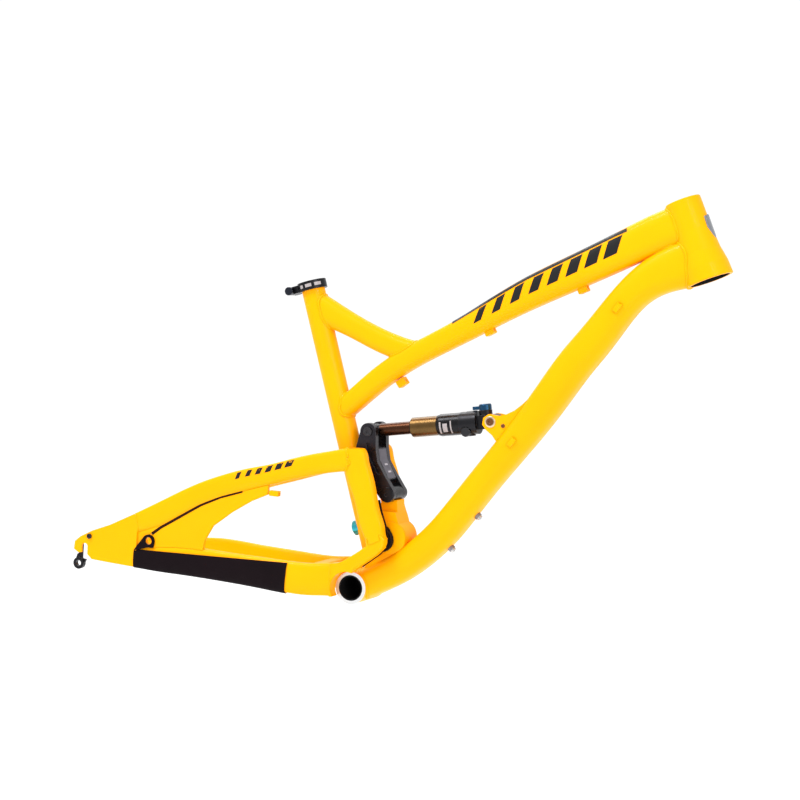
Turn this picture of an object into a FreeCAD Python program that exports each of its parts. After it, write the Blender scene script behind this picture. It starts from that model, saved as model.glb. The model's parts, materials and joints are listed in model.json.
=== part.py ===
import FreeCAD, Part
import os
from math import cos, sin, pi, radians, hypot, atan2, degrees

# Full-suspension bicycle frame, in millimetres. +X points forward, +Y to the rider's left
# and +Z up. The origin is the centre of the bottom bracket shell.

V = FreeCAD.Vector
ALONG_Y = V(0, 1, 0)

# ---- driving dimensions ------------------------------------------------------------------

# pivots, as (x, z); every pivot axis lies along Y
ROCKER_PIVOT = (44.0, 141.0)
STAY_PIVOT = (-2.0, 193.0)
SHOCK_REAR = (7.9, 230.5)
SHOCK_FRONT = (195.9, 261.1)
ECCENTRIC_CENTRE = (52.0, 78.0)
MAIN_PIVOT = (41.0, 75.0)
AXLE = (-433.0, 17.5)

WALL = 1.8
BEARING_R = 9.0
PIN_R = 6.0
RUNNING = 0.05          # radial clearance of a pin in its own bearing
MAIN_CLEARANCE = 0.85   # the opened main pivot
MAIN_BORE_R = 11.0
EYE_CLEARANCE = 2.4     # the opened shock eye

SHELL_R = 24.0
SHELL_BORE_R = 17.0
SHELL_HALF = 36.5

HEAD_TOP = (453.0, 589.2)
HEAD_ANGLE = 66.15
HEAD_LENGTH = 116.5
HEAD_UPPER_BORE_R = 22.0
HEAD_LOWER_BORE_R = 28.0
HEAD_BORE_DEPTH = 14.0

SEAT_TOP = (-108.0, 441.0)
SEAT_ANGLE = 71.9
SEAT_R = 17.2
SEAT_BORE_R = 15.5
SEAT_LENGTH = 418.0

# tube stations, as (x, z, height, width) of each section along the tube
TOP_TUBE = [(468, 560, 54, 42), (377, 519, 52, 42), (329, 494, 50, 41), (243, 450, 46, 39),
            (185, 416, 40, 37), (126, 380, 35, 35), (60, 342, 34, 34), (-19, 279, 33, 33),
            (-48, 254, 33, 33)]
DOWN_TUBE = [(488, 512, 64, 50), (432, 488, 58, 51), (387, 452, 47, 53), (353, 406, 48, 54),
             (299, 332, 50, 55), (246, 253, 47, 54), (190, 178, 44, 54), (133, 100, 45, 55),
             (104, 68, 45, 57), (74, 42, 45, 60), (40, 20, 45, 63), (8, 2, 44, 65)]
STRUT = [(-95, 406, 42, 29), (-62, 392, 38, 29), (-30, 379, 34, 28), (8, 364, 34, 27),
         (38, 355, 34, 27), (76, 348, 34, 27)]

FORGING_HALF = 19.5
TONGUE_HALF = 13.0
BARREL_R = 11.4
HOUSING_R = 24.6
CORE_R = 19.0
CORE_BEARING_R = 22.0
COVER_THICK = 2.0
CORE_RECESS = 0.4         # the core stops this far inside the covers
SPACER_R = 9.0
ECCENTRIC_TRAVEL = 52.0     # degrees, from rest to full travel

# swingarm legs
LEG_OUTER_FRONT = 54.0
LEG_OUTER_REAR = 74.0
LEG_SPLAY_FROM = -60.0
LEG_THICK = 20.0
STAY_INSET = 0.6          # the stays and yokes lie this far inside the uprights' face
HUB_HALF = 67.5
# sections as (x, lower z, upper z, thickness)
SEATSTAY = [(-410, 22, 45, 9), (-380, 33, 60, 10), (-350, 46, 77, 11), (-310, 60, 99, 13),
            (-276, 79, 118, 14), (-242, 99, 135, 15), (-210, 113, 148, 15), (-171, 127, 161, 16),
            (-137, 138, 170, 17), (-98, 151, 183, 17.5), (-60, 162, 194, 18), (-28, 169, 202, 18),
            (2, 172, 206, 18)]
CHAINSTAY = [(-410, -2, 14, 9), (-380, -4, 17, 10), (-350, -5, 22, 12), (-313, -7, 29, 13),
             (-269, -8, 34, 15), (-236, -9, 34, 16), (-190, -11, 32, 17), (-141, -14, 31, 18),
             (-100, -17, 30, 18), (-60, -17, 31, 18), (-27, -14, 34, 18)]
# sections as (rear x, rear z, front x, front z)
UPRIGHT = [(-13, 206, 11, 207), (-17, 197, 17, 201), (-17, 184, 20, 190), (-11, 164, 26, 174),
           (3, 132, 35, 145), (12, 104, 43, 117), (20, 84, 51, 96), (27, 66, 56, 80)]
GUSSET = [(-134, 140), (-171, 128), (-210, 114), (-242, 100), (-276, 80), (-310, 61), (-352, 45),
          (-352, 15), (-313, 20), (-236, 30), (-233, 48), (-221, 70), (-192, 93), (-161, 113),
          (-134, 126)]
SLOT_LINE = [(-326, 44), (-307, 59), (-274, 79.5), (-242, 99.5), (-210, 114.5), (-174, 126.5)]
SLOT_WIDTH = 3.0
KEYHOLE = (-325, 37)
KEYHOLE_R = 5.5

# shock, measured along its axis from the rear eye
SHOCK_STROKE = 51.0
SHAFT_R = 9.4
MOUTH_AT = 63.0
CAN_AT = 104.0
HEAD_AT = 140.0
CAN_R = 14.4
SLEEVE_R = 16.2
CAN_BORE_R = 12.4
TOWER_AT = 178.0
EYE_HALF = 11.0


# ---- shape helpers -----------------------------------------------------------------------

def point(place, y=0.0):
    return V(place[0], y, place[1])


def rod(radius, start, end):
    return Part.makeCylinder(radius, (end - start).Length, start, end - start)


def pin(radius, place, y0, y1):
    """A cylinder along Y through the point (x, z)."""
    return Part.makeCylinder(radius, y1 - y0, point(place, y0), ALONG_Y)


def ring(outer, inner, place, y0, y1):
    return pin(outer, place, y0, y1).cut(pin(inner, place, y0 - 1, y1 + 1))


def both_sides(shape):
    """The shape and its mirror image in the frame's middle plane, as separate solids."""
    return Part.makeCompound([shape, mirrored(shape)])


def mirrored(shape):
    return shape.mirror(V(0, 0, 0), ALONG_Y)


def joined(first, *others):
    return first.fuse(list(others)).removeSplitter()


def outline(points, y):
    corners = [point(p, y) for p in points]
    return Part.Face(Part.makePolygon(corners + corners[:1]))


def plate(points, y0, y1):
    return outline(points, y0).extrude(V(0, y1 - y0, 0))


def rounded(shape, radius, chosen):
    """Fillets the edges whose middle passes the test chosen(middle, edge)."""
    edges = [e for e in shape.Edges if chosen(e.CenterOfMass, e)]
    return shape.makeFillet(radius, edges)


def along_y(edge):
    ends = [v.Point for v in edge.Vertexes]
    return len(ends) == 2 and abs(abs((ends[1] - ends[0]).y) - edge.Length) < 1e-6


def oval(centre, across, up, boxiness):
    """A closed superellipse wire with half axes given as vectors."""
    points = []
    for i in range(20):
        turn = 2 * pi * i / 20
        c, s = cos(turn), sin(turn)
        a = abs(c) ** (2 / boxiness) * (1 if c > 0 else -1)
        b = abs(s) ** (2 / boxiness) * (1 if s > 0 else -1)
        points.append(centre + across * a + up * b)
    curve = Part.BSplineCurve()
    curve.interpolate(points, PeriodicFlag=True)
    return Part.Wire(curve.toShape())


def tube_solid(stations, inset=0.0, boxiness=3.0):
    """A smooth tube in the middle plane through sections (x, z, height, width)."""
    wires = []
    last = len(stations) - 1
    for i, (x, z, height, width) in enumerate(stations):
        x0, z0 = stations[max(i - 1, 0)][:2]
        x1, z1 = stations[min(i + 1, last)][:2]
        length = hypot(x1 - x0, z1 - z0)
        normal = V(-(z1 - z0) / length, 0, (x1 - x0) / length)
        wires.append(oval(V(x, 0, z), V(0, width / 2 - inset, 0),
                          normal * (height / 2 - inset), boxiness))
    return Part.makeLoft(wires, True, False)


def leg_outer(x):
    share = max((LEG_SPLAY_FROM - x) / (LEG_SPLAY_FROM - AXLE[0]), 0.0)
    return LEG_OUTER_FRONT + (LEG_OUTER_REAR - LEG_OUTER_FRONT) * share


def stay_solid(stations, inset=0.0):
    """A stay of the left leg through upright sections (x, lower z, upper z, thickness)."""
    wires = []
    for x, low, high, thick in stations:
        centre = V(x, leg_outer(x) - STAY_INSET - thick / 2, (low + high) / 2)
        wires.append(oval(centre, V(0, thick / 2 - inset, 0), V(0, 0, (high - low) / 2 - inset), 3.4))
    return Part.makeLoft(wires, True, False)


def upright_solid(inset=0.0):
    wires = []
    for xr, zr, xf, zf in UPRIGHT:
        half = V(xf - xr, 0, zf - zr) * 0.5
        half = half * (1 - inset / half.Length)
        centre = V((xr + xf) / 2, LEG_OUTER_FRONT - LEG_THICK / 2, (zr + zf) / 2)
        wires.append(oval(centre, V(0, LEG_THICK / 2 - inset, 0), half, 3.4))
    return Part.makeLoft(wires, True, False)


def leg_plate(points, inset, thick):
    """A plate of the left leg that follows its splay; the points lie behind the splay's start."""
    corners = [V(x, leg_outer(x) - inset, z) for x, z in points]
    face = Part.Face(Part.makePolygon(corners + corners[:1]))
    return face.extrude(V(0, -thick, 0))


# ---- front triangle ----------------------------------------------------------------------

HEAD_DOWN = V(cos(radians(HEAD_ANGLE)), 0, -sin(radians(HEAD_ANGLE)))
HEAD_FORWARD = V(sin(radians(HEAD_ANGLE)), 0, cos(radians(HEAD_ANGLE)))
SEAT_DOWN = V(cos(radians(SEAT_ANGLE)), 0, -sin(radians(SEAT_ANGLE)))
SEAT_BACK = V(-sin(radians(SEAT_ANGLE)), 0, -cos(radians(SEAT_ANGLE)))


def head_at(along, out=0.0):
    return point(HEAD_TOP) + HEAD_DOWN * along + HEAD_FORWARD * out


def head_solid():
    """The head tube's outside: a revolved profile that flares to the lower cup."""
    profile = [(0, 0), (0, 24.2), (1.2, 25.0), (12, 25.4), (45, 25.8), (76, 28.2), (96, 32.0),
               (HEAD_LENGTH - 1.2, 33.2), (HEAD_LENGTH, 32.4), (HEAD_LENGTH, 0)]
    corners = [head_at(a, r) for a, r in profile]
    face = Part.Face(Part.makePolygon(corners + corners[:1]))
    return face.revolve(head_at(0), HEAD_DOWN, 360)


def head_bore():
    upper = rod(HEAD_UPPER_BORE_R, head_at(-1), head_at(HEAD_BORE_DEPTH))
    middle = rod(HEAD_UPPER_BORE_R - 1.5, head_at(0), head_at(HEAD_LENGTH))
    lower = rod(HEAD_LOWER_BORE_R, head_at(HEAD_LENGTH - HEAD_BORE_DEPTH), head_at(HEAD_LENGTH + 1))
    return joined(upper, middle, lower)


def seat_at(along, back=0.0):
    return point(SEAT_TOP) + SEAT_DOWN * along + SEAT_BACK * back


HEAD_OUTSIDE = head_solid()
SHELL_OUTSIDE = pin(SHELL_R, (0, 0), -SHELL_HALF, SHELL_HALF)
SEAT_OUTSIDE = rod(SEAT_R, seat_at(0), seat_at(SEAT_LENGTH))
HOUSING_OUTSIDE = pin(HOUSING_R, ECCENTRIC_CENTRE, -FORGING_HALF, FORGING_HALF)
TOP_OUTSIDE = tube_solid(TOP_TUBE)
DOWN_OUTSIDE = tube_solid(DOWN_TUBE, boxiness=2.9)
STRUT_OUTSIDE = tube_solid(STRUT, boxiness=2.6)


def head_tube():
    return HEAD_OUTSIDE.cut(head_bore())


def bottom_bracket_shell():
    shell = ring(SHELL_R, SHELL_BORE_R, (0, 0), -SHELL_HALF, SHELL_HALF)
    return shell.cut(ring(SHELL_BORE_R + 1.5, SHELL_BORE_R - 1, (0, 0), -10, 10))


def down_tube():
    tube = DOWN_OUTSIDE.cut(tube_solid(DOWN_TUBE, WALL, 2.9))
    drilled = [rod(2.6, bottle_place(side, -12), bottle_place(side, 3)) for side in (-1, 1)]
    return largest(tube.cut([HEAD_OUTSIDE, SHELL_OUTSIDE, HOUSING_OUTSIDE] + drilled))


def top_tube():
    tube = TOP_OUTSIDE.cut(tube_solid(TOP_TUBE, WALL))
    return tube.cut([HEAD_OUTSIDE, SEAT_OUTSIDE, DOWN_OUTSIDE])


def strut():
    tube = STRUT_OUTSIDE.cut(tube_solid(STRUT, WALL, 2.6))
    return tube.cut([SEAT_OUTSIDE, TOP_OUTSIDE])


def seat_tube():
    tube = SEAT_OUTSIDE.cut(rod(SEAT_BORE_R, seat_at(-1), seat_at(SEAT_LENGTH + 1)))
    return tube.cut([HOUSING_OUTSIDE, SHELL_OUTSIDE, DOWN_OUTSIDE])


def pivot_forging():
    """Carries the eccentric's bearings and, on its upper tongue, the rocker's barrel."""
    foot = [(27, 116), (22, 92), (16, 50), (12, 18), (40, 30), (76, 64), (73, 84), (62, 102),
            (57, 116)]
    tongue = [(32, 133), (27, 112), (58, 112), (56, 133)]
    body = joined(plate(foot, -FORGING_HALF, FORGING_HALF),
                  plate(tongue, -TONGUE_HALF, TONGUE_HALF))
    body = joined(body.cut([SEAT_OUTSIDE, DOWN_OUTSIDE, SHELL_OUTSIDE]), HOUSING_OUTSIDE)
    body = body.cut(pin(CORE_BEARING_R, ECCENTRIC_CENTRE, -FORGING_HALF - 1, FORGING_HALF + 1))
    barrel = pin(BARREL_R, ROCKER_PIVOT, -TONGUE_HALF - 1, TONGUE_HALF + 1)
    post = rod(SEAT_BORE_R, seat_at(0), seat_at(SEAT_LENGTH + 1))
    return largest(body.cut([barrel, post]))


def rocker_barrel():
    """The barrel on top of the tongue, which holds the rocker's axle."""
    return ring(BARREL_R, PIN_R, ROCKER_PIVOT, -TONGUE_HALF, TONGUE_HALF)


def eccentric_covers():
    """Plates over the eccentric's bearings, open where the main pivot's spacers travel."""
    cover = pin(HOUSING_R - 0.6, ECCENTRIC_CENTRE, FORGING_HALF, FORGING_HALF + COVER_THICK)
    arm = V(MAIN_PIVOT[0] - ECCENTRIC_CENTRE[0], 0, MAIN_PIVOT[1] - ECCENTRIC_CENTRE[1])
    steps = 8
    for i in range(steps + 1):
        turn = radians(ECCENTRIC_TRAVEL) * i / steps
        x = arm.x * cos(turn) + arm.z * sin(turn)
        z = arm.z * cos(turn) - arm.x * sin(turn)
        place = (ECCENTRIC_CENTRE[0] + x, ECCENTRIC_CENTRE[1] + z)
        cover = cover.cut(pin(SPACER_R + 1.0, place, FORGING_HALF - 1, FORGING_HALF + 4))
    clear_of_tube = tube_solid(DOWN_TUBE, -0.2, 2.9)
    return both_sides(largest(cover.cut([SEAT_OUTSIDE, clear_of_tube])))


def largest(shape):
    return max(shape.Solids, key=lambda solid: solid.Volume)


def shock_mount():
    """Two ears and a cross piece on the down tube that hold the shock's front eye."""
    profile = [(256, 303), (243, 290), (232, 280.5), (220, 274), (208, 270.5), (193, 272),
               (185, 266), (184, 256), (190, 249), (200, 242), (208, 232)]
    ear = plate(profile, 12.0, 18.0)
    ear = rounded(ear, 3.0, lambda middle, edge: along_y(edge) and middle.x < 204)
    brace = plate([(214, 262), (222, 268), (232, 262), (224, 252)], -13.0, 13.0)
    mount = joined(ear, mirrored(ear), brace)
    return largest(mount.cut([DOWN_OUTSIDE, pin(4.0, SHOCK_FRONT, -30, 30)]))


def bolt(head_r, shank_r, place, y_head, y_end, head_length):
    """A bolt whose head is on the drive side: y_head is under the head."""
    head = pin(head_r, place, y_head - head_length, y_head)
    shank = pin(shank_r, place, y_head - 0.5, y_end)
    socket = pin(head_r * 0.5, place, y_head - head_length - 0.5, y_head - head_length * 0.4)
    return joined(head, shank).cut(socket)


def shock_front_bolt():
    screw = bolt(5.4, 3.95, SHOCK_FRONT, -18.0, 22.0, 2.5)
    nut = ring(6.5, 3.95, SHOCK_FRONT, 18.0, 22.0)
    return joined(screw, nut)


def cable_guide(x, z, slope, length, height, width, bore):
    """A small block under a tube, with a groove for one cable."""
    block = Part.makeBox(length, width, height, V(-length / 2, -width / 2, -height))
    block = rounded(block, 1.5, lambda middle, edge: middle.z < -height / 2)
    block = block.cut(rod(bore, V(-length, 0, -height * 0.55), V(length, 0, -height * 0.55)))
    block.rotate(V(0, 0, 0), V(0, -1, 0), slope)
    block.translate(V(x, 0, z))
    return block


def top_tube_guides():
    places = [(45, 309, 38.0), (178, 394, 30.0), (315, 463.5, 26.0)]
    blocks = [cable_guide(x, z, slope, 14, 11, 13, 2.3) for x, z, slope in places]
    return Part.makeCompound([b.cut(TOP_OUTSIDE).Solids[0] for b in blocks])


def down_tube_guides():
    guides = []
    for x, z in [(378, 437), (234, 236)]:
        block = Part.makeBox(15, 7, 8, V(-7.5, -3.5, -4))
        block = rounded(block, 1.4, lambda middle, edge: middle.y < 0)
        block = block.cut(rod(2.1, V(-10, -1.0, 0), V(10, -1.0, 0)))
        block.rotate(V(0, 0, 0), V(0, -1, 0), 54)
        block.translate(V(x, -26.5, z))
        guides.append(largest(block.cut(DOWN_OUTSIDE)))
    return Part.makeCompound(guides)


BOTTLE_SPACING = 64.0
BOTTLE_MIDDLE = V(161.0, 0, 95.5)
DOWN_SLOPE = radians(53.6)
DOWN_ALONG = V(cos(DOWN_SLOPE), 0, sin(DOWN_SLOPE))
DOWN_UNDER = V(sin(DOWN_SLOPE), 0, -cos(DOWN_SLOPE))


def bottle_place(side, out=0.0):
    return BOTTLE_MIDDLE + DOWN_ALONG * (side * BOTTLE_SPACING / 2) + DOWN_UNDER * out


def bottle_bosses():
    """Threaded inserts with a flange under the down tube."""
    bosses = []
    for side in (-1, 1):
        flange = rod(5.5, bottle_place(side, -6), bottle_place(side, 1.2)).cut(DOWN_OUTSIDE)
        bosses.append(largest(flange).cut(rod(2.5, bottle_place(side, -9), bottle_place(side, 3))))
    return Part.makeCompound(bosses)


def bottle_bolts():
    bolts = []
    for side in (-1, 1):
        head = rod(4.2, bottle_place(side, 1.2), bottle_place(side, 4.4))
        shank = rod(2.45, bottle_place(side, -4), bottle_place(side, 2))
        socket = rod(2.0, bottle_place(side, 2.8), bottle_place(side, 5))
        bolts.append(joined(head, shank).cut(socket))
    return Part.makeCompound(bolts)


def head_badge():
    """A plain curved plate on the front of the head tube."""
    shield = [(32, -10), (30, 0), (32, 10), (48, 11), (60, 6), (66, 0), (60, -6), (48, -11)]
    corners = [head_at(a, 15) + V(0, b, 0) for a, b in shield]
    prism = Part.Face(Part.makePolygon(corners + corners[:1])).extrude(HEAD_FORWARD * 25)
    shell = rod(27.4, head_at(20), head_at(80)).cut(HEAD_OUTSIDE)
    return largest(prism.common(shell))


def cable_port_plug():
    """An anodised plug on the rear of the seat tube's foot."""
    place = 369.0
    body = rod(11.0, seat_at(place, 12.0), seat_at(place, 22.0))
    flange = rod(8.0, seat_at(place, 22.0), seat_at(place, 24.0))
    socket = rod(3.0, seat_at(place, 22.5), seat_at(place, 25.0))
    return joined(body, flange).cut([socket, SEAT_OUTSIDE])


def rocker_axle():
    return pin(PIN_R - RUNNING, ROCKER_PIVOT, -ROCKER_OUT - 0.5, ROCKER_OUT + 0.5)


def eccentric_bearings():
    bearing = ring(CORE_BEARING_R - 0.02, CORE_R + RUNNING, ECCENTRIC_CENTRE, 8.0, FORGING_HALF)
    return both_sides(bearing)


# ---- seat clamp --------------------------------------------------------------------------

CLAMP_R = 21.5
CLAMP_HEIGHT = 13.0
CLAMP_TOP = -1.5
SKEWER_BACK = 33.0
LEVER_Y = 14.4            # the lever's cam pin


def seat_clamp_collar():
    """A split collar whose ears carry the skewer behind the seat tube."""
    collar = rod(CLAMP_R, seat_at(CLAMP_TOP), seat_at(CLAMP_TOP + CLAMP_HEIGHT))
    ears = box_on_seat(16.0, 40.0, -8.0, 8.0, CLAMP_TOP + 1, CLAMP_TOP + CLAMP_HEIGHT - 1)
    ears = rounded(ears, 4.0, lambda middle, edge: along_y(edge))
    collar = joined(collar, ears)
    split = box_on_seat(10.0, 45.0, -1.0, 1.0, CLAMP_TOP - 2, CLAMP_TOP + CLAMP_HEIGHT + 2)
    inside = rod(SEAT_R + 0.05, seat_at(-0.05), seat_at(20))
    lip = rod(SEAT_BORE_R + 0.2, seat_at(CLAMP_TOP - 1), seat_at(20))
    hole = rod(2.6, skewer_point(-20), skewer_point(20))
    return collar.cut([split, inside, lip, hole])


def box_on_seat(back0, back1, y0, y1, along0, along1):
    corners = [seat_at(along0, back0), seat_at(along0, back1), seat_at(along1, back1),
               seat_at(along1, back0)]
    corners = [c + V(0, y0, 0) for c in corners]
    return Part.Face(Part.makePolygon(corners + corners[:1])).extrude(V(0, y1 - y0, 0))


def skewer_point(y, back=SKEWER_BACK):
    return seat_at(CLAMP_TOP + CLAMP_HEIGHT / 2, back) + V(0, y, 0)


def seat_clamp_skewer():
    """The skewer with its round nut on the drive side and its cam fork on the left."""
    shank = rod(2.5, skewer_point(-12), skewer_point(LEVER_Y))
    nut = rod(6.2, skewer_point(-15.5), skewer_point(-8.1))
    saddle = rod(5.0, skewer_point(8.05), skewer_point(8.45))
    cam_pin = rod(2.0, lever_axis(-5.5), lever_axis(5.5))
    return joined(shank, nut, saddle, cam_pin)


def lever_axis(along):
    """The lever's cam pin is parallel to the seat tube."""
    return skewer_point(LEVER_Y) + SEAT_DOWN * along


def seat_clamp_lever():
    cam = rod(5.6, lever_axis(-5.5), lever_axis(5.5))
    arm = [(5.0, 15.0), (2.0, 19.6), (-16.0, 28.0), (-34.0, 30.4), (-34.0, 26.8), (-16.0, 24.4)]
    corners = [skewer_point(y, SKEWER_BACK + back) - SEAT_DOWN * 4.5 for back, y in arm]
    blade = Part.Face(Part.makePolygon(corners + corners[:1])).extrude(SEAT_DOWN * 9)
    lever = joined(cam, blade)
    bore = rod(2.0 + RUNNING, lever_axis(-8), lever_axis(8))
    slot = rod(6.2, lever_axis(-2.8), lever_axis(2.8))
    return largest(lever.cut([bore, slot]))


# ---- rocker ------------------------------------------------------------------------------

ROCKER_IN = 14.0
ROCKER_OUT = 23.5
ROCKER_BOSS_R = 11.4


def rocker_link():
    """Two side plates joined by a front wall; it drives the shock from the swingarm."""
    profile = [(-4, 231), (-12, 197), (-11, 186), (33, 135), (44, 130.5), (53, 135), (54, 147),
               (38, 169), (26, 187), (22, 206), (20, 234), (14, 241), (2, 241)]
    side = joined(plate(profile, ROCKER_IN, ROCKER_OUT),
                  pin(12.4, SHOCK_REAR, ROCKER_IN, ROCKER_OUT),
                  pin(ROCKER_BOSS_R, STAY_PIVOT, ROCKER_IN, ROCKER_OUT),
                  pin(ROCKER_BOSS_R, ROCKER_PIVOT, ROCKER_IN, ROCKER_OUT))
    pocket = plate([(6, 214), (8, 198), (27, 169), (32, 170), (20, 187), (15, 206), (13, 214)],
                   ROCKER_OUT - 3.0, ROCKER_OUT + 1)
    side = side.cut(pocket)
    wall = plate([(14, 211), (7, 206), (25, 176), (35, 160), (41, 162), (33, 175), (25, 188),
                  (21, 206)], -ROCKER_IN, ROCKER_IN)
    link = joined(side, mirrored(side), wall)
    holes = [pin(BEARING_R, ROCKER_PIVOT, -40, 40), pin(BEARING_R, STAY_PIVOT, -40, 40),
             pin(4.0, SHOCK_REAR, -40, 40)]
    return link.cut(holes)


def rocker_bearings():
    rings = []
    for place in (ROCKER_PIVOT, STAY_PIVOT):
        bearing = ring(BEARING_R - 0.02, PIN_R, place, ROCKER_IN + 0.5, ROCKER_OUT - 0.5)
        rings += [bearing, mirrored(bearing)]
    return Part.makeCompound(rings)


def rocker_caps():
    face = ROCKER_OUT + 0.8
    cap = pin(8.7, ROCKER_PIVOT, face, face + 1.4).cut(pin(3.0, ROCKER_PIVOT, face + 0.7, face + 3))
    rim = ring(10.8, 8.6, ROCKER_PIVOT, ROCKER_OUT, face + 1.4)
    return both_sides(joined(cap, rim))


def shock_rear_bolt():
    screw = bolt(6.5, 3.98, SHOCK_REAR, -ROCKER_OUT, ROCKER_OUT + 3.0, 2.5)
    nut = ring(6.5, 3.98, SHOCK_REAR, ROCKER_OUT, ROCKER_OUT + 3.0)
    return joined(screw, nut)


def shock_rear_spacers():
    spacer = ring(7.5, 3.98, SHOCK_REAR, EYE_HALF + 0.5, ROCKER_IN)
    return both_sides(spacer)


# ---- swingarm ----------------------------------------------------------------------------

YOKE_OUTER = LEG_OUTER_FRONT - STAY_INSET


def yoke_solid():
    """The lower corner of the left leg, round the main pivot and over the shell."""
    profile = [(27, 66), (15, 57), (-3, 44), (-16, 37), (-27, 35), (-27, -14), (-10, -12),
               (9, 28), (29, 43), (44, 55), (54, 66), (56, 80), (44, 90), (30, 86)]
    inner = LEG_OUTER_FRONT - 18.5
    body = joined(plate(profile, inner, YOKE_OUTER), pin(14.8, MAIN_PIVOT, inner, YOKE_OUTER))
    return body.cut(pin(SHELL_R + 1.6, (0, 0), 0, 80))


YOKE_OUTSIDE = yoke_solid()
UPRIGHT_OUTSIDE = upright_solid()
SEATSTAY_OUTSIDE = stay_solid(SEATSTAY)
CHAINSTAY_OUTSIDE = stay_solid(CHAINSTAY)


def pivot_yoke():
    body = rounded(YOKE_OUTSIDE, 3.5,
                   lambda middle, edge: abs(middle.y - YOKE_OUTER) < 0.1 and middle.z > 38)
    bore = pin(MAIN_BORE_R, MAIN_PIVOT, 0, LEG_OUTER_FRONT - 6)
    return body.cut([bore, UPRIGHT_OUTSIDE])


def upright():
    """A hollow box with a solid boss round each pivot."""
    inside = upright_solid(3.0).cut([pin(12.0, STAY_PIVOT, 30, 60), pin(16.0, MAIN_PIVOT, 30, 60)])
    tube = UPRIGHT_OUTSIDE.cut(inside)
    return tube.cut([pin(PIN_R, STAY_PIVOT, 0, LEG_OUTER_FRONT - 4),
                     pin(MAIN_BORE_R, MAIN_PIVOT, 0, LEG_OUTER_FRONT - 6)])


def stay(stations, *neighbours):
    """A thin-walled stay of the left leg, cut back to its neighbours."""
    tube = stay_solid(stations).cut(stay_solid(stations, WALL))
    return largest(tube.cut(list(neighbours)))


def stay_gusset():
    """The web between the stays; a keyhole slot parts it from the seatstay."""
    web = leg_plate(GUSSET, 2.5, 5.0)
    keyhole = pin(KEYHOLE_R, KEYHOLE, 40, 90)
    web = web.cut([keyhole, slot_cutter(), SEATSTAY_OUTSIDE, CHAINSTAY_OUTSIDE, DROPOUT_OUTSIDE])
    return mirrored(largest(web))


def slot_cutter():
    above = [(x, z + SLOT_WIDTH / 2) for x, z in SLOT_LINE]
    below = [(x, z - SLOT_WIDTH / 2) for x, z in reversed(SLOT_LINE)]
    return plate(above + below, 40, 90)


DROPOUT_REAR = [(-391, 55), (-421, 43), (-441, 32), (-450, 24), (-451, 12), (-443, 7),
                (-438.1, 8), (-427.9, 6), (-420, -1), (-388, -3)]
RIGHT_DROPOUT_FRONT = [(-350, -5), (-345, 10), (-345, 60), (-350, 76)]
LEFT_DROPOUT_FRONT = [(-398, -2), (-402, 24), (-396, 52)]


DROPOUT_OUTSIDE = leg_plate(DROPOUT_REAR + RIGHT_DROPOUT_FRONT, 0.0, 11.0)
LEFT_DROPOUT_OUTSIDE = leg_plate(DROPOUT_REAR[1:-1] + LEFT_DROPOUT_FRONT, 0.0, 9.0)


def behind(front):
    """Everything behind a dropout's front edge, to trim the stays that are welded to it."""
    corners = [(-470, -60), (front[0][0], -60)] + front + [(front[-1][0], 120), (-470, 120)]
    return plate(corners, 30, 100)


def dropout(drive_side):
    hub_space = Part.makeBox(60, 20, 100, V(-460, HUB_HALF - 20, -30))
    slot = Part.makeBox(10.2, 40, 40, V(AXLE[0] - 5.1, 50, AXLE[1] - 40))
    blank = DROPOUT_OUTSIDE if drive_side else LEFT_DROPOUT_OUTSIDE
    body = blank.cut([hub_space, slot, pin(5.1, AXLE, 50, 90)])
    if drive_side:
        body = mirrored(body.cut(pin(KEYHOLE_R + 1.5, KEYHOLE, 40, 90)))
        body = body.cut([hanger_solid(), pin(2.5, HANGER_BOLT, -90, -50)])
    return largest(body)


HANGER_BOLT = (-425.0, 34.0)
HANGER_HOLE = (-443.0, -9.5)


def hanger_solid():
    """The hanger lies in a pocket in the inner side of the right dropout."""
    profile = [(-437, 31), (-421, 39), (-419, 29), (-427.5, 21), (-427.5, 5), (-434.5, -10),
               (-436, -14), (-450, -5), (-447, 4), (-441, 9), (-440, 22)]
    return plate(profile, -HUB_HALF - 3.5, -HUB_HALF)


def derailleur_hanger():
    body = joined(hanger_solid(), pin(9.0, HANGER_HOLE, -HUB_HALF - 6.0, -HUB_HALF + 1.0))
    slot = Part.makeBox(10.2, 40, 40, V(AXLE[0] - 5.1, -90, AXLE[1] - 21))
    cut = body.cut([pin(5.1, AXLE, -90, -50), slot.common(pin(15.0, (AXLE[0], AXLE[1] - 5), -90, -50)),
                    pin(4.5, HANGER_HOLE, -90, -50), pin(2.1, HANGER_BOLT, -90, -50)])
    return largest(cut)


def hanger_bolt():
    outer = -leg_outer(HANGER_BOLT[0])
    return bolt(4.0, 2.05, HANGER_BOLT, outer - 0.3, -HUB_HALF - 0.5, 2.0)


def seatstay_bridge():
    place = (-106, 164)
    tube = ring(8.0, 6.2, place, -45, 45)
    return largest(tube.cut([SEATSTAY_OUTSIDE, mirrored(SEATSTAY_OUTSIDE)]))


def chainstay_bridge():
    """The box-shaped bridge between the chainstays, just behind the shell."""
    profile = [(-46, 30), (-40, 10), (-44, -10), (-72, -10), (-70, 28)]
    block = rounded(plate(profile, -40, 40), 4.0, lambda middle, edge: along_y(edge))
    inner = rounded(plate([(-50, 26), (-45, 10), (-48, -6), (-68, -6), (-66, 24)], -50, 50),
                    2.0, lambda middle, edge: along_y(edge))
    block = block.cut([inner, CHAINSTAY_OUTSIDE, mirrored(CHAINSTAY_OUTSIDE)])
    return largest(block)


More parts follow.
